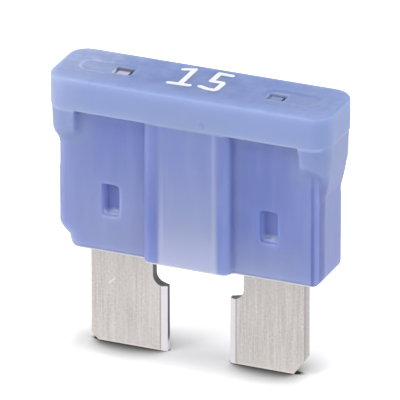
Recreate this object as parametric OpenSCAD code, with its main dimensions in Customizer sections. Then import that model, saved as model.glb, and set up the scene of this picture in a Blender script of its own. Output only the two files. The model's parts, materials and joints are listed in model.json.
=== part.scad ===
// Flat automotive blade fuse: a moulded housing over one stamped element
// Millimetres. X runs along the width, -Y is the front, +Z is up.
// The origin lies between the two blades, at the level of their tips.

/* [Overall] */
// Height from the blade tips to the top of the head
total_h = 18.8; // [18:0.1:19.4]

/* [Head] */
// Width of the head, end to end
head_w = 19.1; // [18.9:0.1:20]
// Depth of the head, front to back
head_d = 5.1; // [5:0.1:6]
// Height of the head
head_h = 2.3; // [1.9:0.1:2.8]
// Corner radius of the head, seen from above
head_r = 1.3; // [0.6:0.1:1.6]
// Bevel along the head's top and bottom edges
head_bevel = 0.15; // [0.05:0.05:0.3]

/* [Body] */
// Height of the whole housing, with its head
housing_h = 11.9; // [11:0.1:12.6]
// Width of the body below the head
body_w = 18; // [17:0.1:18.3]
// Depth over the two side panels
panel_d = 3.6; // [3.2:0.1:4]
// Radius of the body's upright corners
body_r = 0.5; // [0.2:0.1:0.8]
// Width of the raised centre panel
centre_w = 5.9; // [5.4:0.1:6.2]
// Depth over the front and back centre panels
centre_d = 4.8; // [4.4:0.1:4.9]
// Radius of the centre panel's upright edges
centre_r = 0.5; // [0.1:0.1:0.5]
// Width cut off the lower left corner
notch_w = 0.87; // [0.4:0.01:1.2]
// Height of the slope above that cut
notch_slope_h = 0.87; // [0.4:0.01:1.2]
// Height of the slope's lower end above the underside
notch_h = 0.78; // [0.7:0.01:1.2]
// Radius below the cut, at the lower left
left_foot_r = 0.6; // [0.2:0.05:0.65]
// Radius of the lower right corner
right_foot_r = 0.87; // [0.3:0.01:1.2]

/* [Shoulders] */
// Width over the shoulders under the head
shoulder_w = 18.9; // [18.5:0.1:19.1]
// Depth over the shoulders
shoulder_d = 5; // [4.5:0.1:5]
// Corner radius of the shoulders, seen from above
shoulder_r = 1.2; // [0.6:0.1:1.5]
// Length of each shoulder along the width
shoulder_l = 1.85; // [1.4:0.05:2.2]
// Upright height of a shoulder's front face
shoulder_face_h = 1.2; // [1:0.1:2]
// Height of the slope under the front face
shoulder_slope_h = 0.9; // [0.3:0.1:1.2]
// Upright height of the shoulder's end face
shoulder_end_h = 0.2; // [0.1:0.1:0.8]
// Height of the whole left shoulder
left_drop = 2.3; // [2.2:0.1:3.6]
// Height of the whole right shoulder
right_drop = 3.6; // [2.8:0.1:4]

/* [Walls] */
// Wall round the link's chamber
chamber_wall = 0.7; // [0.5:0.05:0.9]
// Thickness of the top over the blades
top_wall = 1.2; // [0.8:0.1:1.6]
// Play between the element and the housing, on each side
fit_gap = 0.05; // [0.03:0.01:0.08]

/* [Test points] */
// Distance from the middle to each test point
probe_x = 5.2; // [4.9:0.1:5.5]
// Width of the tab in a test point
probe_w = 0.8; // [0.7:0.05:1.2]
// Depth of the tab's end below the top
probe_sink = 0.2; // [0.1:0.05:0.6]
// Play round the tab in its window, on each side
window_gap = 0.2; // [0.1:0.05:0.3]
// Depth of the window
window_sink = 0.9; // [0.7:0.1:1.1]
// Length of the shallow recess round a test point
recess_l = 3.8; // [3.4:0.1:4]
// Depth of that recess, front to back
recess_d = 1.7; // [1.5:0.1:2]
// Corner radius of that recess
recess_r = 0.8; // [0.4:0.05:0.85]
// How far that recess is sunk
recess_sink = 0.08; // [0.04:0.01:0.12]
// Distance from the middle to the recess's outer end
recess_end = 8.1; // [7.9:0.1:8.3]

/* [Stakes] */
// Distance from the middle to each stake
stake_x = 5.4; // [5.2:0.1:5.6]
// Height of the stakes' middle above the blade tips
stake_z = 10.5; // [9.5:0.1:11.5]
// Width of a stake
stake_w = 1.15; // [0.9:0.05:1.4]
// Height of a stake
stake_h = 2.1; // [1.6:0.1:2.4]
// Depth of the pocket that the staking tool leaves
stake_sink = 0.8; // [0.4:0.1:1]
// Play round a stake in its hole, on each side
stake_gap = 0.1; // [0.05:0.01:0.15]
// Width of the moulding mark on the front of the head
gate_w = 0.35; // [0.2:0.05:0.5]
// Depth of that mark
gate_sink = 0.06; // [0.03:0.01:0.1]
// Place of that mark along the width
gate_x = 1.2; // [0.8:0.1:2]
// Height of that mark above the head's lower edge
gate_rise = 0.55; // [0.4:0.05:1]

/* [Element] */
// Distance over the outer edges of the two blades
blade_span = 14.7; // [14.3:0.1:15]
// Width of a blade
blade_w = 5.2; // [5:0.05:5.3]
// Thickness of the sheet
blade_t = 0.65; // [0.55:0.05:0.8]
// Width of a blade above its step
neck_w = 4.25; // [3.9:0.05:4.4]
// Height of the step on the inner edge
step_z = 4.5; // [4:0.1:5]
// Radius in the corner above the step
step_r = 0.7; // [0.3:0.05:0.8]
// Width of the coined bevel along the inner edge
coin_w = 0.45; // [0.3:0.05:0.6]
// Depth of that bevel
coin_d = 0.15; // [0.08:0.01:0.2]
// Height of the lead-in at the tips
lead_h = 0.4; // [0.2:0.1:0.8]
// Depth of the lead-in on each face
lead_d = 0.08; // [0.04:0.01:0.15]
// Width of the left blade's corner cut
left_cut_w = 0.45; // [0.3:0.05:1]
// Height of the left blade's corner cut
left_cut_h = 0.5; // [0.3:0.05:1.4]
// Width of the right blade's corner cut
right_cut_w = 0.85; // [0.3:0.05:1]
// Height of the right blade's corner cut
right_cut_h = 1.2; // [0.3:0.05:1.4]

/* [Link] */
// Thickness of the thinned link
link_t = 0.3; // [0.2:0.05:0.4]
// Width of the link's strip
link_w = 0.8; // [0.6:0.05:0.9]
// Radius of the arch, to the middle of the strip
link_r = 1.35; // [1.1:0.05:1.5]
// Height of the arch's centre above the blade tips
link_z = 13.4; // [12.5:0.1:14.5]
// Length of the arch's straight legs
link_leg = 1.2; // [0.8:0.1:1.6]

/* [Print] */
// Height of the digits
digit_h = 2.9; // [2.4:0.05:3]
// Width of a digit
digit_w = 1.7; // [1.5:0.05:1.9]
// Distance between the middles of the two digits
digit_pitch = 2.05; // [1.95:0.05:2.2]
// Width of the print's strokes
stroke_w = 0.36; // [0.2:0.02:0.4]
// Thickness of the print, stamped flush with the top
print_t = 0.05; // [0.03:0.01:0.08]
// How far the print's middle lies left of the head's middle
print_x = 0.12; // [0:0.02:0.3]
// How far the print's middle lies behind the head's middle
print_y = 0.52; // [0.3:0.02:0.7]

/* [Hidden] */
$fn = 64;
// What a cutter runs past the face that it cuts
past = 0.5;
// What two joined shapes share inside the plastic
root = 0.3;
head_z = total_h - head_h;
housing_z = total_h - housing_h;
slot_top = total_h - top_wall;
slot_w = blade_span + 2 * fit_gap;
slot_d = blade_t + 2 * fit_gap;
blade_top = slot_top - fit_gap;
probe_top = total_h - probe_sink;
blade_out = blade_span / 2;
blade_in = blade_out - blade_w;
neck_in = blade_out - neck_w;
HOUSING_COLOUR = [0.56, 0.63, 0.86, 0.75];
TIN_COLOUR = [0.80, 0.79, 0.77];
PRINT_COLOUR = [0.95, 0.97, 1];

// A rectangle with round corners, about the origin
module rounded_rect(w, d, r) {
    square([w - 2 * r, d], center = true);
    square([w, d - 2 * r], center = true);
    for (x = [-1, 1], y = [-1, 1])
        translate([x * (w / 2 - r), y * (d / 2 - r)]) circle(r);
}

// Half the outline of a plate's edge, bevelled at the top and the bottom
module edge_profile(half, h, b) {
    polygon([[0, 0], [half - b, 0], [half, b], [half, h - b], [half - b, h], [0, h]]);
}

// A plate with round corners and bevelled edges, its underside at z = 0
module bevelled_plate(w, d, h, r, b) {
    for (x = [-1, 1], y = [-1, 1])
        translate([x * (w / 2 - r), y * (d / 2 - r), 0])
            rotate_extrude() edge_profile(r, h, b);
    for (turn = [0, 180]) {
        rotate([0, 0, turn]) along_y(d - 2 * r) edge_profile(w / 2, h, b);
        rotate([0, 0, turn]) along_x(w - 2 * r) edge_profile(d / 2, h, b);
    }
}

// Extrudes a front view, drawn in x and z, along Y about the middle
module along_y(length) {
    rotate([90, 0, 0]) linear_extrude(length, center = true) children();
}

// Extrudes a side view, drawn in y and z, along X about the middle
module along_x(length) {
    rotate([90, 0, 90]) linear_extrude(length, center = true) children();
}

// What a round corner of radius r takes off a square one at the origin
module corner_waste(r) {
    difference() {
        translate([-past, -past]) square(r + past);
        translate([r, r]) circle(r);
    }
}

// Front view of the body, with its two different lower corners
module body_front() {
    difference() {
        translate([-body_w / 2, housing_z]) square([body_w, head_z + root - housing_z]);
        translate([-body_w / 2, housing_z])
            polygon([[-past, -past], [notch_w, -past], [notch_w, notch_h],
                [0, notch_h + notch_slope_h], [-past, notch_h + notch_slope_h]]);
        translate([notch_w - body_w / 2, housing_z]) corner_waste(left_foot_r);
        translate([body_w / 2, housing_z]) mirror([1, 0]) corner_waste(right_foot_r);
    }
}

module body() {
    intersection() {
        along_y(panel_d) body_front();
        translate([0, 0, housing_z])
            linear_extrude(housing_h) rounded_rect(body_w, panel_d, body_r);
    }
    translate([0, 0, housing_z])
        linear_extrude(head_z + root - housing_z) rounded_rect(centre_w, centre_d, centre_r);
}

// Front view of a right-hand shoulder: upright, then curving in to the body
module shoulder_front(drop) {
    reach = (shoulder_w - body_w) / 2;
    fall = drop - shoulder_end_h;
    bend_r = (fall * fall + reach * reach) / (2 * reach);
    bend_z = head_z - shoulder_end_h;
    translate([shoulder_w / 2 - shoulder_l, bend_z])
        square([shoulder_l, shoulder_end_h + root]);
    intersection() {
        translate([shoulder_w / 2 - bend_r, bend_z]) circle(bend_r, $fn = 180);
        translate([shoulder_w / 2 - shoulder_l, head_z - drop]) square([shoulder_l, fall]);
    }
}

// Side view of both shoulders: full depth, then sloping in to the side panels
module shoulder_side(drop) {
    slope_top = head_z - shoulder_face_h;
    slope_end = slope_top - shoulder_slope_h;
    for (side = [0, 1])
        mirror([side, 0])
            polygon([[0, head_z - drop], [panel_d / 2, head_z - drop],
                [panel_d / 2, slope_end], [shoulder_d / 2, slope_top],
                [shoulder_d / 2, head_z + root], [0, head_z + root]]);
}

module right_shoulder(drop) {
    intersection() {
        along_y(shoulder_d) shoulder_front(drop);
        along_x(shoulder_w) shoulder_side(drop);
        translate([0, 0, head_z - drop])
            linear_extrude(drop + root) rounded_rect(shoulder_w, shoulder_d, shoulder_r);
    }
}

// The space for the element: blade slot, link chamber and test points
module inside() {
    chamber_w = centre_w - 2 * chamber_wall;
    chamber_d = centre_d - 2 * chamber_wall;
    bottom = housing_z - past;
    translate([-slot_w / 2, -slot_d / 2, bottom]) cube([slot_w, slot_d, slot_top - bottom]);
    translate([-chamber_w / 2, -chamber_d / 2, bottom])
        cube([chamber_w, chamber_d, slot_top - bottom]);
    for (side = [-1, 1]) {
        translate([side * probe_x - probe_w / 2 - fit_gap, -slot_d / 2, slot_top - root])
            cube([probe_w + 2 * fit_gap, slot_d, top_wall + root + past]);
        translate([side * probe_x - probe_w / 2 - window_gap,
            -blade_t / 2 - window_gap, total_h - window_sink])
            cube([probe_w + 2 * window_gap, blade_t + 2 * window_gap, window_sink + past]);
        translate([side * (recess_end - recess_l / 2), 0, total_h - recess_sink])
            linear_extrude(recess_sink + past) rounded_rect(recess_l, recess_d, recess_r);
    }
}

// One stake, or with a margin its hole, through a given depth
module stake(side, depth, margin = 0) {
    w = stake_w + 2 * margin;
    h = stake_h + 2 * margin;
    translate([side * stake_x - w / 2, -depth / 2, stake_z - h / 2]) cube([w, depth, h]);
}

// The pockets that the staking tool leaves in both side panels
module stake_pockets() {
    for (side = [-1, 1])
        difference() {
            stake(side, panel_d + 2 * past);
            stake(side, panel_d - 2 * stake_sink, past);
        }
}

module housing() {
    color(HOUSING_COLOUR) {
        difference() {
            union() {
                translate([0, 0, head_z])
                    bevelled_plate(head_w, head_d, head_h, head_r, head_bevel);
                body();
                right_shoulder(right_drop);
                mirror([1, 0, 0]) right_shoulder(left_drop);
            }
            inside();
            stake_pockets();
            translate([gate_x, gate_sink - head_d / 2, head_z + gate_rise])
                rotate([90, 0, 0]) cylinder(past, d = gate_w);
            translate([0, 0, total_h - print_t]) linear_extrude(print_t + past) digits();
        }
        for (side = [-1, 1]) stake(side, slot_d + root);
    }
}

// Front view of one blade, drawn on the right, with its corner cut at the tip
module blade_front(cut_w, cut_h) {
    polygon([[blade_in, 0], [blade_out - cut_w, 0], [blade_out, cut_h],
        [blade_out, blade_top], [neck_in, blade_top], [neck_in, step_z], [blade_in, step_z]]);
    translate([neck_in, step_z]) mirror([1, 0])
        difference() {
            square(step_r);
            translate([step_r, step_r]) circle(step_r);
        }
    translate([probe_x - probe_w / 2, blade_top - root])
        square([probe_w, probe_top - blade_top + root]);
}

// What the coining takes off the inner edge, on both faces of a right-hand blade
module coining() {
    for (face = [0, 1])
        mirror([0, face, 0]) translate([0, 0, -past]) linear_extrude(step_z + past)
            polygon([[blade_in - coin_w, -blade_t], [blade_in + coin_w, -blade_t],
                [blade_in + coin_w, -blade_t / 2], [blade_in, coin_d - blade_t / 2],
                [blade_in - coin_w, coin_d - blade_t / 2]]);
}

// What the lead-in takes off the tips, on both faces
module lead_in() {
    for (face = [0, 1])
        mirror([0, face, 0]) along_x(blade_span + past)
            polygon([[-blade_t, -past], [lead_d - blade_t / 2, -past],
                [lead_d - blade_t / 2, 0], [-blade_t / 2, lead_h], [-blade_t, lead_h]]);
}

module right_blade(cut_w, cut_h) {
    difference() {
        along_y(blade_t) blade_front(cut_w, cut_h);
        coining();
        lead_in();
        stake(1, blade_t + 2 * past, stake_gap);
    }
}

// Front view of the thin link: an arch on two legs, with a foot to each blade
module link_front() {
    outer = link_r + link_w / 2;
    inner = link_r - link_w / 2;
    foot_z = link_z - link_leg - link_w;
    intersection() {
        translate([0, link_z]) difference() {
            circle(outer);
            circle(inner);
        }
        translate([-outer, link_z]) square([2 * outer, outer]);
    }
    for (side = [0, 1])
        mirror([side, 0]) translate([inner, foot_z]) {
            square([link_w, link_leg + link_w]);
            square([neck_in + root - inner, link_w]);
        }
}

module fuse_element() {
    color(TIN_COLOUR) {
        right_blade(right_cut_w, right_cut_h);
        mirror([1, 0, 0]) right_blade(left_cut_w, left_cut_h);
        along_y(link_t) link_front();
    }
}

// A straight stroke with round ends between two points
module stroke(from, to) {
    run = to - from;
    translate(from) rotate(atan2(run[1], run[0]))
        translate([0, -stroke_w / 2]) square([norm(run), stroke_w]);
    translate(from) circle(stroke_w / 2, $fn = 32);
    translate(to) circle(stroke_w / 2, $fn = 32);
}

// A line of strokes through points given as shares of a digit's width and height
module strokes(points) {
    w = digit_w - stroke_w;
    h = digit_h - stroke_w;
    at = [for (p = points) [(p[0] - 0.5) * w, (p[1] - 0.5) * h]];
    for (i = [0 : len(at) - 2]) stroke(at[i], at[i + 1]);
}

module digit_one() {
    strokes([[0.04, 0.9], [0.54, 1], [0.54, 0.03]]);
    strokes([[0, 0], [1, 0.03]]);
}

module digit_five() {
    strokes([[0.9, 0.98], [0.27, 1], [0.25, 0.49], [0.8, 0.49], [0.87, 0.42],
        [0.84, 0.06], [0.77, 0], [0.4, 0], [0, 0.08]]);
}

module digits() {
    translate([-digit_pitch / 2 - print_x, print_y]) digit_one();
    translate([digit_pitch / 2 - print_x, print_y]) digit_five();
}

module rating_print() {
    color(PRINT_COLOUR)
        translate([0, 0, total_h - print_t]) linear_extrude(print_t) digits();
}

housing();
fuse_element();
rating_print();
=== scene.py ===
# %% [markdown]
# # A plug-in vehicle fuse, built around its CAD model
#
# The object is a flat plug-in fuse, 19 mm wide: a milky, light blue moulded housing over one
# stamped strip of tinned metal, whose two blades point down, and a white number on top.
# The CAD model gives every size. This script gives the surfaces: the soft edges of a moulding,
# the way light sinks into the plastic, the streaks of rolled metal and the stamped white foil.
# All lengths are in metres, and the CAD model's place and axes are kept.

# %% Load the CAD model and keep its box
import json
import math

import bpy
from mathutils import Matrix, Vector

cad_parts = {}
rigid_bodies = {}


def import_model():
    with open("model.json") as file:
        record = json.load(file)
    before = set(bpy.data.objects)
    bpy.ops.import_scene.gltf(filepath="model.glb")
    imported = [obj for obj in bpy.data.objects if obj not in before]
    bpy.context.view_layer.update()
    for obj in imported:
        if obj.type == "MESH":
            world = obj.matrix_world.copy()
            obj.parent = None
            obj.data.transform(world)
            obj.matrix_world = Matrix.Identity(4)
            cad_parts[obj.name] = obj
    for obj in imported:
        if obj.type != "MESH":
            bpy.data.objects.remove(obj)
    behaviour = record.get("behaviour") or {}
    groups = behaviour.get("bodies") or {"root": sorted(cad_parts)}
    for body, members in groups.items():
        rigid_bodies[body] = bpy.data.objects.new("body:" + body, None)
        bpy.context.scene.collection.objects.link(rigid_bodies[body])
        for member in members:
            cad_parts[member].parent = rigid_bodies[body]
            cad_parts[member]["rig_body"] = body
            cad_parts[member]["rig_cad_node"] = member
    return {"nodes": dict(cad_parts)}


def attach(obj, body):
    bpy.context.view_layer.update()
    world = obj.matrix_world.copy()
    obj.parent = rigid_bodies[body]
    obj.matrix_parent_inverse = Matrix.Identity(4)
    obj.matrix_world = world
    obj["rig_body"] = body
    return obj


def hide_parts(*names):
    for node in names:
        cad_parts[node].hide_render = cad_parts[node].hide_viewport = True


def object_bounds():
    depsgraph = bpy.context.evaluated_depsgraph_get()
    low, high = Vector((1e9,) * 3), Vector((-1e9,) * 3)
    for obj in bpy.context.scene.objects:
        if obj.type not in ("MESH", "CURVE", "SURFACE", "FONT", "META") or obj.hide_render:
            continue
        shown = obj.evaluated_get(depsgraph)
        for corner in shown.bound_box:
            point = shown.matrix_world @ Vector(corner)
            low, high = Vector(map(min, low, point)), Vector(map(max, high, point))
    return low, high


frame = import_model()
cad_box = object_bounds()
MM = 0.001
print("CAD nodes:", sorted(frame["nodes"]))
print("CAD box in mm:", [round(value / MM, 2) for corner in cad_box for value in corner])

# %% [markdown]
# ## The camera
#
# The photo looks at the fuse from the front, a little from its right and from above, through
# a long lens. The camera therefore stands far away with a narrow view, so that upright edges
# stay nearly upright. It is aimed at the middle of the fuse, and a small lens shift moves the
# picture down to where the photo has it.

# %% Place the camera
VIEW_AZIMUTH = 23.0
VIEW_ELEVATION = 24.0
VIEW_DISTANCE = 0.6
SENSOR = 36.0
IMAGE_PIXELS = 400
PIXELS_PER_MM = 15.9
SHIFT_RIGHT_PIXELS = 0.1
SHIFT_DOWN_PIXELS = 19.8

aim = (cad_box[0] + cad_box[1]) / 2
azimuth = math.radians(VIEW_AZIMUTH)
elevation = math.radians(VIEW_ELEVATION)
towards_camera = Vector((
    math.sin(azimuth) * math.cos(elevation),
    -math.cos(azimuth) * math.cos(elevation),
    math.sin(elevation),
))
view_width = IMAGE_PIXELS / PIXELS_PER_MM * MM

camera_data = bpy.data.cameras.new("camera")
camera_data.sensor_width = SENSOR
camera_data.lens = SENSOR * VIEW_DISTANCE / view_width
camera_data.shift_x = -SHIFT_RIGHT_PIXELS / IMAGE_PIXELS
camera_data.shift_y = SHIFT_DOWN_PIXELS / IMAGE_PIXELS
camera_data.clip_start = 0.01
camera_data.clip_end = 10.0
camera = bpy.data.objects.new("camera", camera_data)
bpy.context.scene.collection.objects.link(camera)
camera.location = aim + towards_camera * VIEW_DISTANCE
camera.rotation_mode = "QUATERNION"
camera.rotation_quaternion = towards_camera.to_track_quat("Z", "Y")
bpy.context.scene.camera = camera
bpy.context.scene.view_settings.view_transform = "Standard"
print("Camera lens in mm:", round(camera_data.lens), "shift:", round(camera_data.shift_y, 3))

# %% [markdown]
# ## Sums with shader sockets
#
# A procedural finish is a small sum of patterns. Written node by node it is long and hard to
# read, so one class wraps a socket and turns + - * into Math nodes. With it, a mask such as
# 1 - head is written as it is thought.

# %% A socket that does sums
class Socket:
    """One output of a shader node, which can take part in sums."""

    def __init__(self, finish, output):
        self.finish = finish
        self.output = output

    def math(self, operation, *values):
        return self.finish.node("ShaderNodeMath", {"operation": operation}, *values)

    def __add__(self, other):
        return self.math("ADD", self, other)

    def __sub__(self, other):
        return self.math("SUBTRACT", self, other)

    def __rsub__(self, other):
        return self.math("SUBTRACT", other, self)

    def __mul__(self, other):
        return self.math("MULTIPLY", self, other)

    __radd__ = __add__
    __rmul__ = __mul__

    def at_least(self, other):
        return self.math("MAXIMUM", self, other)

    def size(self):
        """The value without its sign."""
        return self.math("ABSOLUTE", self)


print("A socket's own sums: + - * at_least size")

# %% [markdown]
# A shader counts in linear light, while a colour read off a screen is in the screen's own
# curve. One helper turns the 0 to 255 numbers into what the sockets want.

# %% Colours, as a screen shows them
def fill_ramp(ramp, stops):
    while len(ramp.elements) < len(stops):
        ramp.elements.new(0.5)
    for element, (place, colour) in zip(ramp.elements, stops):
        element.position = place
        element.color = colour


def colour_of(red, green, blue):
    """A colour as shaders want it, from the 0 to 255 numbers that a screen shows."""
    shares = [value / 255 for value in (red, green, blue)]
    linear = [s / 12.92 if s <= 0.04045 else ((s + 0.055) / 1.055) ** 2.4 for s in shares]
    return (*linear, 1.0)


def grey(level):
    return (level, level, level, 1.0)


print("Screen grey 128 as a shader colour:", round(colour_of(128, 128, 128)[0], 3))

# %% [markdown]
# Every other node comes from one method of the finish, which sets the node's own settings
# first and its inputs next. The methods after it are the few patterns that all the finishes
# of this fuse are laid with: by place, in mm from the middle and from the blades' tips.

# %% A finish that makes nodes
class Finish:
    """One material, with a method that adds any node to it."""

    def __init__(self, name):
        self.material = bpy.data.materials.new(name)
        self.material.use_nodes = True
        self.tree = self.material.node_tree
        self.tree.nodes.clear()

    def node(self, kind, settings, *values, output=0, **named):
        made = self.tree.nodes.new(kind)
        for key, value in settings.items():
            if key == "stops":
                fill_ramp(made.color_ramp, value)
            else:
                setattr(made, key, value)
        for place, value in [*enumerate(values), *named.items()]:
            key = place if isinstance(place, int) else place.replace("_", " ")
            if isinstance(value, Socket):
                self.tree.links.new(value.output, made.inputs[key])
            elif value is not None:
                made.inputs[key].default_value = value
        return Socket(self, made.outputs[output])

    def scaled(self, vector, factor):
        return self.node("ShaderNodeVectorMath", {"operation": "SCALE"}, vector, Scale=factor)

    def places(self):
        """The three Object coordinates, in millimetres."""
        metres = self.node("ShaderNodeTexCoord", {}, output="Object")
        place = self.scaled(metres, 1 / MM)
        return [self.node("ShaderNodeSeparateXYZ", {}, place, output=axis) for axis in range(3)]

    def point(self, x, y, z):
        return self.node("ShaderNodeCombineXYZ", {}, x, y, z)

    def length(self, x, y):
        """How far a point in the ground plane is from the middle."""
        flat = self.point(x, y, 0.0)
        return self.node("ShaderNodeVectorMath", {"operation": "LENGTH"}, flat, output="Value")

    def rise(self, value, low, high):
        """0 below low, 1 above high, and smooth between them."""
        settings = {"interpolation_type": "SMOOTHSTEP"}
        return self.node("ShaderNodeMapRange", settings, value, low, high, 0.0, 1.0)

    def fall(self, value, low, high):
        """1 below low, 0 above high, and smooth between them."""
        return 1 - self.rise(value, low, high)

    def near(self, value, centre, inner, outer):
        """1 up to inner away from the centre, and 0 from outer on."""
        return self.fall((value - centre).size(), inner, outer)

    def noise(self, point, scale, detail=2.0):
        return self.node("ShaderNodeTexNoise", {}, Vector=point, Scale=scale, Detail=detail)

    def ramp(self, value, *stops):
        return self.node("ShaderNodeValToRGB", {"stops": stops}, value)

    def blend(self, share, first, second):
        """One colour into another."""
        made = self.tree.nodes.new("ShaderNodeMix")
        made.data_type = "RGBA"
        for place, value in ((0, share), (6, first), (7, second)):
            if isinstance(value, Socket):
                self.tree.links.new(value.output, made.inputs[place])
            else:
                made.inputs[place].default_value = value
        return Socket(self, made.outputs[2])

    def surface(self, shader):
        end = self.tree.nodes.new("ShaderNodeOutputMaterial")
        self.tree.links.new(shader.output, end.inputs["Surface"])
        return self.material


print("A finish's own patterns:", [name for name in vars(Finish) if not name.startswith("_")])

# %% [markdown] ## The floor  The fuse stands on white paper. The blades' tips are so thin
# that soft light hardly marks where they touch the paper, so the floor's own material adds
# two shades. Ambient Occlusion measures how much of the sky each spot of the paper sees, and
# a colour ramp turns that into the dark line close to the tips. A wide oval, laid by the
# floor's own coordinates, is the faint shade of the whole body. The camera sees the paper as
# bright white, and the metal mirrors it so, while the light that the paper throws back at the
# fuse stays plain: Light Path tells the shader which ray asks.

# %% Lay the floor
FLOOR_HALF = 0.5

bpy.ops.object.select_all(action="DESELECT")
bpy.ops.mesh.primitive_plane_add(size=2 * FLOOR_HALF, location=(0, 0, 0))
floor = bpy.context.active_object
floor.name = "floor"
print("Floor:", floor.dimensions[:])

# %% Shade the paper round the fuse
FLOOR_SEEN = 1.5
CONTACT_REACH = 6.0 * MM
CONTACT_SAMPLES = 48
CONTACT_STOPS = ((0.5, 0.05), (0.59, 0.3), (0.68, 0.72), (0.79, 0.97), (0.9, 1.0))
BODY_SHADE = 0.585
BODY_SHADE_MIDDLE_X = -0.5
BODY_SHADE_MIDDLE_Y = -0.25
BODY_SHADE_END = 7.1
BODY_SHADE_END_FALL = 1.6
BODY_SHADE_REACH = 4.6

paper = Finish("white_floor")
x, y, _ = paper.places()
openness = paper.node(
    "ShaderNodeAmbientOcclusion", {"samples": CONTACT_SAMPLES}, Distance=CONTACT_REACH, output="AO")
contact = paper.ramp(openness, *[(place, grey(level)) for place, level in CONTACT_STOPS])
past_end = ((x - BODY_SHADE_MIDDLE_X).size() - BODY_SHADE_END).at_least(0.0)
away = paper.length(past_end * BODY_SHADE_END_FALL, y - BODY_SHADE_MIDDLE_Y)
body_shade = paper.rise(away, 0.0, BODY_SHADE_REACH) * (1 - BODY_SHADE) + BODY_SHADE
seen_paper = paper.scaled(contact, body_shade * FLOOR_SEEN)
print("Paper in the middle of the body's shade:", round(BODY_SHADE * FLOOR_SEEN, 2))

# %% Give each ray its white
FLOOR_MIRRORED = 1.05
FLOOR_LIT = 0.8

seen = paper.node("ShaderNodeLightPath", {}, output="Is Camera Ray")
mirrored = paper.node("ShaderNodeLightPath", {}, output="Is Glossy Ray")
whiteness = paper.blend(mirrored, grey(FLOOR_LIT), grey(FLOOR_MIRRORED))
whiteness = paper.blend(seen, whiteness, seen_paper)
floor.data.materials.append(paper.surface(paper.node("ShaderNodeBsdfDiffuse", {}, whiteness)))
print("Floor finish:", floor.data.materials[0].name)

# %% [markdown]
# ## The light
#
# A product photo like this one is lit by large soft boxes in a white room. The world is the
# room: an even light, a little below white, that shows as pure white to the camera and in
# mirror-like surfaces. One soft box in front at the left shapes the edges, and a weaker one
# fills the right-hand end.

# %% Make the white room
WORLD_LEVEL = 0.75


def studio_world(level):
    """An even light of this level, which camera, glass and mirror rays see as plain white."""
    world = bpy.data.worlds.new("studio")
    bpy.context.scene.world = world
    world.use_nodes = True
    nodes = world.node_tree.nodes
    links = world.node_tree.links
    path = nodes.new("ShaderNodeLightPath")
    seen_white = nodes.new("ShaderNodeMapRange")
    total = nodes.new("ShaderNodeVectorMath")
    total.operation = "LENGTH"
    rays = nodes.new("ShaderNodeCombineXYZ")
    for place, ray in enumerate(("Is Camera Ray", "Is Transmission Ray", "Is Glossy Ray")):
        links.new(path.outputs[ray], rays.inputs[place])
    links.new(rays.outputs[0], total.inputs[0])
    links.new(total.outputs["Value"], seen_white.inputs["Value"])
    seen_white.inputs["To Min"].default_value = level
    seen_white.inputs["To Max"].default_value = 1.0
    links.new(seen_white.outputs[0], nodes["Background"].inputs["Strength"])
    nodes["Background"].inputs["Color"].default_value = (1.0, 1.0, 1.0, 1.0)


studio_world(WORLD_LEVEL)
print("World:", bpy.context.scene.world.name)


# %% Hang the soft boxes
def soft_box(name, place, size, power):
    """A square lamp that faces the fuse."""
    lamp = bpy.data.lights.new(name, "AREA")
    lamp.size = size
    lamp.energy = power
    box = bpy.data.objects.new(name, lamp)
    bpy.context.scene.collection.objects.link(box)
    box.location = place
    box.rotation_mode = "QUATERNION"
    box.rotation_quaternion = (Vector(place) - aim).to_track_quat("Z", "Y")


soft_box("key_left", (-0.35, -0.35, 0.5), size=0.4, power=1.6)
soft_box("fill_right", (0.55, -0.1, 0.25), size=0.3, power=0.6)

# %% [markdown]
# ## The housing
#
# The real housing is one injection moulding, so every edge, outer and inner, has a small even
# radius. A bevel on a mesh with this many joined shapes would break at its corners. A remesh
# rounds them all the same way instead: the CAD node's copy is merged, rebuilt in small cells,
# smoothed a little, and thinned again where it is flat.

# %% Helpers to copy a CAD node and to apply modifiers
MERGE_DISTANCE = 0.001 * MM
FLAT_ANGLE = math.radians(0.5)


def select_only(piece):
    bpy.ops.object.select_all(action="DESELECT")
    bpy.context.view_layer.objects.active = piece
    piece.select_set(True)


def copy_node(node, name):
    """A merged copy of a CAD node, which then stands for it."""
    select_only(frame["nodes"][node])
    bpy.ops.object.duplicate()
    piece = bpy.context.active_object
    piece.name = name
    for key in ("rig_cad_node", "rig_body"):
        del piece[key]
    piece.parent = None
    bpy.ops.object.mode_set(mode="EDIT")
    bpy.ops.mesh.select_all(action="SELECT")
    bpy.ops.mesh.remove_doubles(threshold=MERGE_DISTANCE)
    bpy.ops.mesh.dissolve_limited(angle_limit=FLAT_ANGLE)
    bpy.ops.object.mode_set(mode="OBJECT")
    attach(piece, "root")
    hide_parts(node)
    return piece


def apply_modifier(piece, kind, **settings):
    modifier = piece.modifiers.new(kind.lower(), kind)
    for key, value in settings.items():
        setattr(modifier, key, value)
    select_only(piece)
    bpy.ops.object.modifier_apply(modifier=modifier.name)


print("Pieces to copy:", [name for name in sorted(frame["nodes"]) if name != "rating_print"])

# %% Rebuild the housing with moulded edges
CELL = 0.065 * MM
ROUNDING_STEPS = 7

housing = copy_node("housing", "housing_shell")
apply_modifier(housing, "TRIANGULATE")
apply_modifier(housing, "REMESH", mode="VOXEL", voxel_size=CELL)
apply_modifier(housing, "SMOOTH", factor=0.5, iterations=ROUNDING_STEPS)
print("Housing faces before thinning:", len(housing.data.polygons))

# %% [markdown]
# Two places are rounder than the rest. The shoulders under the head's ends flare softly into
# the body, and the two stakes, which the tool presses in from outside while the plastic is
# warm, leave pockets with soft rims. A Smooth modifier can be kept to a vertex group, so the
# points near each place are gathered by their distances and smoothed further.

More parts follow.
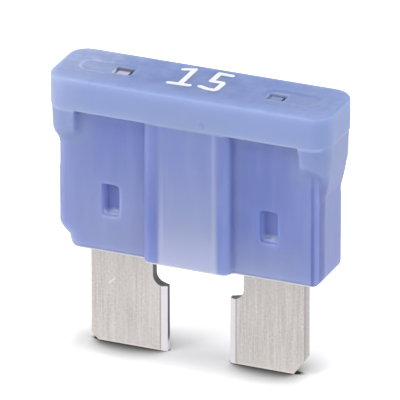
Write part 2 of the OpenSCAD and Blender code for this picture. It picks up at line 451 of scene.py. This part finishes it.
# %% Soften the shoulders and the rims of the stake pockets
UNDERSIDE = 6.9
HEAD_BOTTOM = 16.5
STAKE_X = 5.4
STAKE_Z = 10.5
SOFT_FROM_Y = 1.35
SHOULDER_FROM_X = 6.4
SHOULDER_FROM_Z = 12.2
SHOULDER_TO_Z = 16.2
SHOULDER_STEPS = 120
STAKE_REACH_X = 0.95
STAKE_REACH_Z = 1.45
STAKE_STEPS = 30


def soften(name, is_near, steps):
    """Smooth the housing further, only where is_near says so for a point's distances in mm."""
    group = housing.vertex_groups.new(name=name)
    near = []
    for point in housing.data.vertices:
        across, depth, height = abs(point.co.x) / MM, abs(point.co.y) / MM, point.co.z / MM
        if is_near(across, depth, height):
            near.append(point.index)
    group.add(near, 1.0, "REPLACE")
    apply_modifier(housing, "SMOOTH", factor=0.5, iterations=steps, vertex_group=name)
    print("Points softened at", name + ":", len(near))


def near_shoulder(across, depth, height):
    outer = across > SHOULDER_FROM_X and depth > SOFT_FROM_Y
    return outer and SHOULDER_FROM_Z < height < SHOULDER_TO_Z


def near_stake(across, depth, height):
    beside = abs(across - STAKE_X) < STAKE_REACH_X and abs(height - STAKE_Z) < STAKE_REACH_Z
    return beside and depth > SOFT_FROM_Y


soften("shoulders", near_shoulder, SHOULDER_STEPS)
soften("stake_rims", near_stake, STAKE_STEPS)

# %% Thin the flat places and shade the housing smooth
KEPT_SHARE = 0.27

apply_modifier(housing, "DECIMATE", ratio=KEPT_SHARE)
select_only(housing)
bpy.ops.object.shade_smooth()
print("Housing faces:", len(housing.data.polygons))

# %% [markdown]
# ## The milky plastic
#
# The real plastic lets light through, but no clear picture. Where it is thick or stands clear
# of the metal it glows pale, and where the metal is close behind it looks deeper blue. A foggy
# volume inside clear glass would give that by itself, but it is slow, noisy and lost when the
# model is exported. Here subsurface scattering gives the soft inner light, and the depth of
# the blue is painted over the surface by place, with masks from the piece's own coordinates, in
# mm: a painted glow where the plastic is pale, painted highlights and painted shade along its
# edges, and tones that differ between the left and right halves as the light falls on them.
# The tones were tuned by comparing renders with the photo: the light is plain, so a surface
# renders close to the colour that is written for it.

# %% Start the plastic with the masks that it shares
PANEL_Y = 1.8

plastic = Finish("milky_plastic")
x, y, z = plastic.places()
spot = plastic.point(x, y, z)
across = x.size()
depth = y.size()
# left picks each half's own tones, because painted light and shade differ between the left and
# right halves.
left = plastic.fall(x, -3.0, 3.5)
low = plastic.fall(z, UNDERSIDE, 16.0)
foot = plastic.fall(z, UNDERSIDE, 10.5)
proud = plastic.rise(depth, PANEL_Y + 0.05, PANEL_Y + 0.3)
print("Nodes in the shared masks:", len(plastic.tree.nodes))

# %% [markdown]
# The two side panels hang close over the blades' necks, so they are the deepest blue. A
# painted glow makes them paler towards the body's ends, where only plastic is behind them.
# Painted shade under the head's overhang and painted light from the floor make them darker
# at the top than at the foot, and the left panel is a little paler than the right.

# %% Colour the side panels
left_panel = plastic.blend(low, colour_of(121, 137, 204), colour_of(151, 161, 206))
right_panel = plastic.blend(foot, colour_of(115, 132, 198), colour_of(152, 162, 203))
panel_tone = plastic.blend(left, right_panel, left_panel)
end_glow_tone = plastic.blend(left, colour_of(144, 157, 210), colour_of(146, 158, 210))
panel_tone = plastic.blend(plastic.rise(across, 5.0, 8.5) * 0.65, panel_tone, end_glow_tone)
print("Nodes with the side panels:", len(plastic.tree.nodes))

# %% [markdown]
# Edges bend the light in clear plastic, and here the lines of bent light are painted. The
# right-hand corner shows a painted dark upright line with a painted pale strip beside it. The
# corners have a thin painted dark outline, a little stronger at the front left and the back
# right, which is what the sum with x * y is for. The lower edge and the sloped notch at the
# left foot end in a painted dark line too.

# %% Draw the lines of bent light at the ends
NOTCH_SLOPE = 1.4

corner_line = plastic.rise(x, 8.22, 8.36) * plastic.fall(x, 8.48, 8.62)
panel_tone = plastic.blend(corner_line * 0.9, panel_tone, colour_of(78, 94, 168))
end_tone = plastic.blend(left, colour_of(133, 146, 204), colour_of(144, 151, 203))
panel_tone = plastic.blend(plastic.rise(across, 8.25, 8.6) * 0.8, panel_tone, end_tone)
outline = plastic.rise(across, 8.76, 8.84) * plastic.rise(depth, 1.2, 1.3)
outline = outline * (plastic.rise(x * y, -1.0, 1.0) * 0.1 + 0.38)
notch = plastic.fall(z + (x + 9.0) * NOTCH_SLOPE, 8.5, 8.7)
painted_foot_line = plastic.fall(z, UNDERSIDE + 0.15, UNDERSIDE + 0.35).at_least(notch * 0.8)
panel_tone = plastic.blend(outline.at_least(painted_foot_line * 0.35), panel_tone, colour_of(44, 52, 112))
print("Nodes with the ends:", len(plastic.tree.nodes))

# %% [markdown]
# The centre panel covers the empty chamber round the link. A painted glow makes it pale, most
# of all at its foot, with two thin painted highlight lines, and its rounded sides carry darker
# bands of painted shade.

# %% Colour the centre panel
centre_tone = plastic.blend(low, colour_of(134, 149, 210), colour_of(163, 172, 209))
centre_tone = plastic.blend(foot, centre_tone, colour_of(182, 188, 224))
highlight_line_right = plastic.near(x, 1.9, 0.05, 0.2) * 0.35
highlight_line_left = plastic.near(x, -1.62, 0.05, 0.2) * low * 0.5
centre_tone = plastic.blend(highlight_line_left + highlight_line_right, centre_tone, colour_of(186, 194, 228))
shade_band_tone = plastic.blend(left, colour_of(122, 139, 202), colour_of(109, 125, 195))
shade_band_tone = plastic.blend(foot * 0.4, shade_band_tone, colour_of(156, 167, 214))
shade_band_right = plastic.rise(x, 1.98, 2.3)
shade_band_left = plastic.fall(x, -2.0, -1.7) * (low * 0.5 + 0.5)
centre_tone = plastic.blend(shade_band_right.at_least(shade_band_left), centre_tone, shade_band_tone)
body_tone = plastic.blend(proud, panel_tone, centre_tone)
print("Nodes with the centre panel:", len(plastic.tree.nodes))

# %% [markdown]
# Light that runs down inside the walls comes out at their lower edge as a thin pale line. It
# is kept to the outer faces, because the underside itself isn't bright.

# %% Light the lower edge
EDGE_Y = 1.35

lit_edge = plastic.rise(z, UNDERSIDE + 0.005, UNDERSIDE + 0.03)
lit_edge = lit_edge * plastic.fall(z, UNDERSIDE + 0.08, UNDERSIDE + 0.16)
lit_edge = lit_edge * plastic.rise(depth, EDGE_Y, EDGE_Y + 0.25)
body_tone = plastic.blend(lit_edge * 0.85, body_tone, colour_of(236, 238, 252))
print("Nodes with the lit edge:", len(plastic.tree.nodes))

# %% [markdown]
# Each stake pocket is a small blind hole in a side panel, 1.15 mm wide and 2.1 mm high, and
# its masks end just outside its walls. Light leaks in all round it, so its walls are paler
# than its floor, and the lower wall catches a broken glint.

# %% Colour the stake pockets
away_x = (across - STAKE_X).size()
away_z = (z - STAKE_Z).size()
pocket = plastic.fall(away_x, 0.6, 0.75) * plastic.fall(away_z, 1.1, 1.25)
pocket = pocket * plastic.fall(depth, 1.4, 1.62)
wall = plastic.rise(away_x, 0.47, 0.55).at_least(plastic.rise(away_z, 0.94, 1.02))
bottom_tone = plastic.blend(left, colour_of(134, 152, 220), colour_of(126, 144, 216))
wall_tone = plastic.blend(left, colour_of(168, 180, 228), colour_of(172, 184, 232))
body_tone = plastic.blend(pocket, body_tone, plastic.blend(wall, bottom_tone, wall_tone))
sparkle = plastic.rise(plastic.noise(spot, 3.2, 2.0), 0.35, 0.6) * 0.5 + 0.35
glint = pocket * plastic.fall(z, 9.48, 9.85) * sparkle
body_tone = plastic.blend(glint, body_tone, colour_of(226, 233, 255))
print("Nodes with the stake pockets:", len(plastic.tree.nodes))

# %% [markdown]
# Molten plastic runs down the mould and leaves faint upright streaks. They are a noise that is
# stretched along the height. Just under the head, its glow spills on to the side panels.

# %% Add the streaks and the glow under the head
flow = plastic.noise(plastic.point(x * 1.1, y * 1.1, z * 0.2), 1.0, 3.0)
flow = plastic.rise(flow, 0.4, 0.7)
body_tone = plastic.blend(flow * 0.14, body_tone, colour_of(172, 182, 226))
under_head = plastic.rise(z, HEAD_BOTTOM - 0.8, HEAD_BOTTOM - 0.2) * (1 - proud)
body_tone = plastic.blend(under_head * 0.5, body_tone, colour_of(150, 166, 226))
print("Nodes with the streaks:", len(plastic.tree.nodes))

# %% [markdown]
# The head is the thickest plastic and stands clear of the blades, so a painted glow makes it
# the palest part, with more painted light at its left end and painted shade at its right end.
# The shoulders fade from its colour into the body's. The head's lower front edge catches the
# light as a fine painted highlight.

# %% Colour the head and the shoulders
head = plastic.rise(z, HEAD_BOTTOM - 0.2, HEAD_BOTTOM + 0.1)
shoulder = plastic.rise(across, 6.4, 7.8) * plastic.rise(z, 13.4, 15.2) * 0.8
left_end = plastic.fall(x, -9.2, -6.0) * plastic.rise(z, 15.5, 16.8) * 0.8
head_tone = plastic.blend(left_end, colour_of(151, 168, 214), colour_of(165, 179, 216))
head_tone = plastic.blend(plastic.rise(x, 7.6, 9.4) * 0.8, head_tone, colour_of(139, 158, 206))
moulded_tone = plastic.blend(head.at_least(shoulder), body_tone, head_tone)
shoulder_tone = plastic.blend(left, colour_of(138, 152, 200), colour_of(148, 162, 202))
moulded_tone = plastic.blend(shoulder * (1 - head) * 0.6, moulded_tone, shoulder_tone)
rim = plastic.rise(z, HEAD_BOTTOM - 0.1, HEAD_BOTTOM)
rim = rim * plastic.fall(z, HEAD_BOTTOM + 0.1, HEAD_BOTTOM + 0.25) * plastic.fall(y, -2.3, -1.9)
moulded_tone = plastic.blend(rim * 0.6, moulded_tone, colour_of(178, 193, 230))
print("Nodes with the head:", len(plastic.tree.nodes))

# %% [markdown]
# From above, the eye looks down through the whole height of the plastic. The middle of the top
# is deep blue and cloudy. A painted glow makes its ends paler, the left end most, a painted
# highlight makes its front strip paler, and small pale bubbles show near the ends. The rim of
# the shallow recess round the left window catches a little painted light: a rounded rectangle
# is all points at one distance from a short straight bar.

# %% Colour the top
TOP = 18.8

top = plastic.rise(z, TOP - 0.2, TOP - 0.06)
clouds = plastic.noise(spot, 0.9, 3.0)
end = plastic.rise(across + clouds * 3.0, 5.5, 9.5)
middle_top = plastic.blend(clouds, colour_of(84, 114, 180), colour_of(136, 156, 213))
end_top = plastic.blend(left, colour_of(122, 143, 197), colour_of(141, 159, 203))
top_tone = plastic.blend(end, middle_top, end_top)
front_edge_highlight = plastic.fall(y, -2.3, -0.7)
top_tone = plastic.blend(front_edge_highlight * 0.5, top_tone, colour_of(140, 157, 207))
bubbles = plastic.noise(spot, 1.9, 3.0)
pale = plastic.rise(bubbles, 0.44, 0.62) * plastic.rise((y * 0.6 - x).size(), 3.5, 9.0)
top_tone = plastic.blend(pale * (left * 0.25 + 0.12), top_tone, colour_of(172, 182, 222))
print("Nodes with the top:", len(plastic.tree.nodes))

# %% Draw the rim of the left window's recess
RECESS_X = 6.2
RECESS_BAR_X = 1.1
RECESS_BAR_Y = 0.05
RECESS_RADIUS = 0.78

past_x = ((across - RECESS_X).size() - RECESS_BAR_X).at_least(0.0)
past_y = (depth - RECESS_BAR_Y).at_least(0.0)
recess_rim = plastic.near(plastic.length(past_x, past_y), RECESS_RADIUS, 0.04, 0.15)
recess_rim = recess_rim * plastic.rise(bubbles, 0.3, 0.5) * plastic.fall(x, -7.2, -5.6)
top_tone = plastic.blend(recess_rim * 0.6, top_tone, colour_of(190, 204, 236))
base = plastic.blend(top, moulded_tone, top_tone)
print("Nodes with the recess:", len(plastic.tree.nodes))

# %% [markdown]
# Two windows in the top let a test probe touch the element's tabs. The walls of the left one
# mirror its bright tab, and the far wall of each lies in its own shade.

# %% Colour the test windows
TAB_X = 5.2

window = plastic.near(across, TAB_X, 0.64, 0.7) * plastic.fall(depth, 0.56, 0.62)
window = window * plastic.fall(z, TOP - 0.14, TOP - 0.07) * plastic.rise(z, TOP - 1.8, TOP - 1.4)
window_tone = plastic.blend(left, colour_of(168, 180, 218), colour_of(214, 221, 244))
base = plastic.blend(window, base, window_tone)
window_shade = plastic.rise(y, 0.0, 0.4) * (left * 0.6 + 0.2)
base = plastic.blend(window * window_shade, base, colour_of(70, 78, 118))
print("Nodes with the windows:", len(plastic.tree.nodes))

# %% [markdown]
# The moulded surface is satin, neither polished nor rough, and never quite flat: wide shallow
# waves from shrinking and a very fine grain. The scattering reaches about 2 mm, a little more
# than the walls are thick, and nearly as far for red as for blue, or the plastic would turn
# green.

# %% Give the plastic its shader
waves = plastic.noise(spot, 1.3, 2.0)
grain = plastic.noise(spot, 9.0, 3.0)
relief = plastic.node(
    "ShaderNodeBump", {}, Strength=0.5, Distance=0.03 * MM, Height=waves + grain * 0.06)
shader = plastic.node(
    "ShaderNodeBsdfPrincipled", {},
    Base_Color=base,
    Roughness=0.36,
    IOR=1.5,
    Subsurface_Weight=1.0,
    Subsurface_Radius=(1.0, 1.0, 1.05),
    Subsurface_Scale=2.0 * MM,
    Normal=relief,
)
housing.data.materials.clear()
housing.data.materials.append(plastic.surface(shader))
print("Housing finish:", housing.data.materials[0].name, "with", len(plastic.tree.nodes), "nodes")

# %% [markdown]
# ## The fuse element
#
# Both blades, the thin link and the tabs in the test windows are one stamping of tinned sheet.
# Stamped edges are crisp, so a very small bevel is enough to catch the light. A remesh, as for
# the housing, would round the coined edges away. Weighted normals keep the broad faces flat
# beside the narrow bevels.

# %% Make the element
STAMPED_EDGE = 0.03 * MM
BEVEL_ANGLE = math.radians(25)
SHARP_ANGLE = math.radians(8)

element = copy_node("fuse_element", "tinned_element")
apply_modifier(
    element, "BEVEL",
    width=STAMPED_EDGE, segments=2, limit_method="ANGLE", angle_limit=BEVEL_ANGLE)
select_only(element)
bpy.ops.object.shade_smooth_by_angle(angle=SHARP_ANGLE)
apply_modifier(element, "WEIGHTED_NORMAL", keep_sharp=True, weight=100)
print("Element faces:", len(element.data.polygons))

# %% [markdown]
# ## The rolled tin
#
# The sheet is rolled and then plated with tin. It keeps the matt streaks of the rolling, some
# hair-fine and some wide, along the blades, with small specks between them. Each is a noise,
# stretched along the blades or not, and their sum picks a colour from a narrow ramp for each
# blade.

# %% Streak the tin
tin = Finish("rolled_tin")
x, y, z = tin.places()
across = x.size()
right = tin.rise(x, -1.0, 1.0)
fine = tin.noise(tin.point(x * 16.0, y * 16.0, z * 0.35), 1.0, 3.0)
wide = tin.noise(tin.point(x * 3.5, y * 3.5, z * 0.25), 1.0, 3.0)
specks = tin.noise(tin.point(x, y, z), 6.0, 3.0)
streaks = fine * 0.38 + wide * 0.28 + specks * 0.34
left_tin = tin.ramp(streaks, (0.37, colour_of(190, 184, 181)), (0.63, colour_of(222, 217, 213)))
right_tin = tin.ramp(streaks, (0.37, colour_of(188, 182, 178)), (0.63, colour_of(221, 216, 211)))
tone = tin.blend(right, left_tin, right_tin)
# Painted shade: the blades darken towards the housing, which hangs over them.
tone = tin.blend(tin.rise(z, 3.0, UNDERSIDE) * 0.25, tone, colour_of(186, 180, 178))
print("Nodes in the streaks:", len(tin.tree.nodes))

# %% [markdown]
# The tin is brighter along the left blade's inner half, and painted light brightens the tips.
# The coined inner edges carry a painted highlight, set off by a fine dark crease of painted
# shade. The right blade has a painted dark line of shade along its outer edge too, and the left
# one a small slanting scratch.

# %% Paint light and shade on the tips and edges
COIN_X = 2.6
OUTER_X = 7.35

paler_tips_and_inner_half = tin.rise(x, -4.2, -2.8) * (1 - right)
paler_tips_and_inner_half = paler_tips_and_inner_half.at_least(tin.fall(z, 0.2, 2.5)) * 0.25
tone = tin.blend(paler_tips_and_inner_half, tone, colour_of(232, 228, 224))
shade_crease = tin.rise(across, COIN_X - 0.07, COIN_X - 0.02) * tin.fall(across, COIN_X, COIN_X + 0.06)
outer = tin.rise(across, OUTER_X - 0.13, OUTER_X - 0.07)
outer = outer * tin.fall(across, OUTER_X - 0.02, OUTER_X - 0.005) * right
tone = tin.blend(shade_crease * 0.6, tone, colour_of(140, 135, 134))
tone = tin.blend(outer * 0.5, tone, colour_of(140, 135, 134))
tips = tin.fall(z, 0.08, 0.2) * 0.4
edge_highlight = tin.fall(across, COIN_X - 0.08, COIN_X - 0.02).at_least(tips)
tone = tin.blend(edge_highlight * 0.8, tone, colour_of(238, 233, 238))
print("Nodes with the edges:", len(tin.tree.nodes))

# %% Scratch the left blade
SCRATCH_X = -5.92
SCRATCH_Z = 4.3

scratch = tin.near(z - x, SCRATCH_Z - SCRATCH_X, 0.03, 0.11)
scratch = scratch * tin.near(z + x, SCRATCH_Z + SCRATCH_X, 0.25, 0.6) * tin.fall(y, -0.3, 0.0)
tone = tin.blend(scratch * 0.55, tone, colour_of(240, 238, 238))
print("Nodes with the scratch:", len(tin.tree.nodes))

# %% [markdown]
# The tabs in the windows are painted with the blue light that the plastic round them throws on
# them, the right one darker, in painted shade, and their far edge lies in painted shade. The
# punched sides between the blades are bare and face each other, so they look dark: partly their
# bare metal, partly painted shade. Geometry's Normal tells which faces those are: the ones that
# don't look to the front or back.

# %% Colour the tabs and the punched sides
tab_reflection_tone = tin.blend(right, colour_of(196, 195, 222), colour_of(138, 153, 198))
tab_reflection_tone = tin.blend(tin.rise(y, 0.1, 0.22) * 0.7, tab_reflection_tone, colour_of(74, 80, 104))
tone = tin.blend(tin.rise(z, 17.0, 18.0), tone, tab_reflection_tone)
normal = tin.node("ShaderNodeNewGeometry", {}, output="Normal")
facing = tin.node("ShaderNodeSeparateXYZ", {}, normal, output="Y")
punched_side_shade = tin.fall(across, 3.2, 3.4) * tin.fall(facing.size(), 0.25, 0.55)
punched_side_shade = punched_side_shade * tin.rise(z, 0.5, 1.0)
tone = tin.blend(punched_side_shade, tone, colour_of(96, 92, 98))
print("Nodes with the tabs:", len(tin.tree.nodes))

# %% Give the tin its shader
relief = tin.node("ShaderNodeBump", {}, Strength=0.08, Distance=0.01 * MM, Height=streaks)
shader = tin.node(
    "ShaderNodeBsdfPrincipled", {},
    Base_Color=tone,
    Metallic=1.0,
    Roughness=0.42,
    Normal=relief,
)
element.data.materials.clear()
element.data.materials.append(tin.surface(shader))
print("Element finish:", element.data.materials[0].name, "with", len(tin.tree.nodes), "nodes")

# %% [markdown]
# ## The stamped number
#
# The rating is hot-stamped in white foil, so it is matt and lies flush with the top. The CAD
# node has the right shape as it is, and only gets a material: a soft white, a little thinner
# in places.

# %% Finish the number
foil = Finish("white_foil")
x, y, z = foil.places()
wear = foil.noise(foil.point(x, y, z), 5.0, 3.0)
ink = foil.blend(wear, colour_of(238, 242, 250), colour_of(252, 253, 255))
shader = foil.node("ShaderNodeBsdfPrincipled", {}, Base_Color=ink, Roughness=0.5)
number = frame["nodes"]["rating_print"]
number.data.materials.clear()
number.data.materials.append(foil.surface(shader))
print("Number finish:", number.data.materials[0].name)

# %% [markdown]
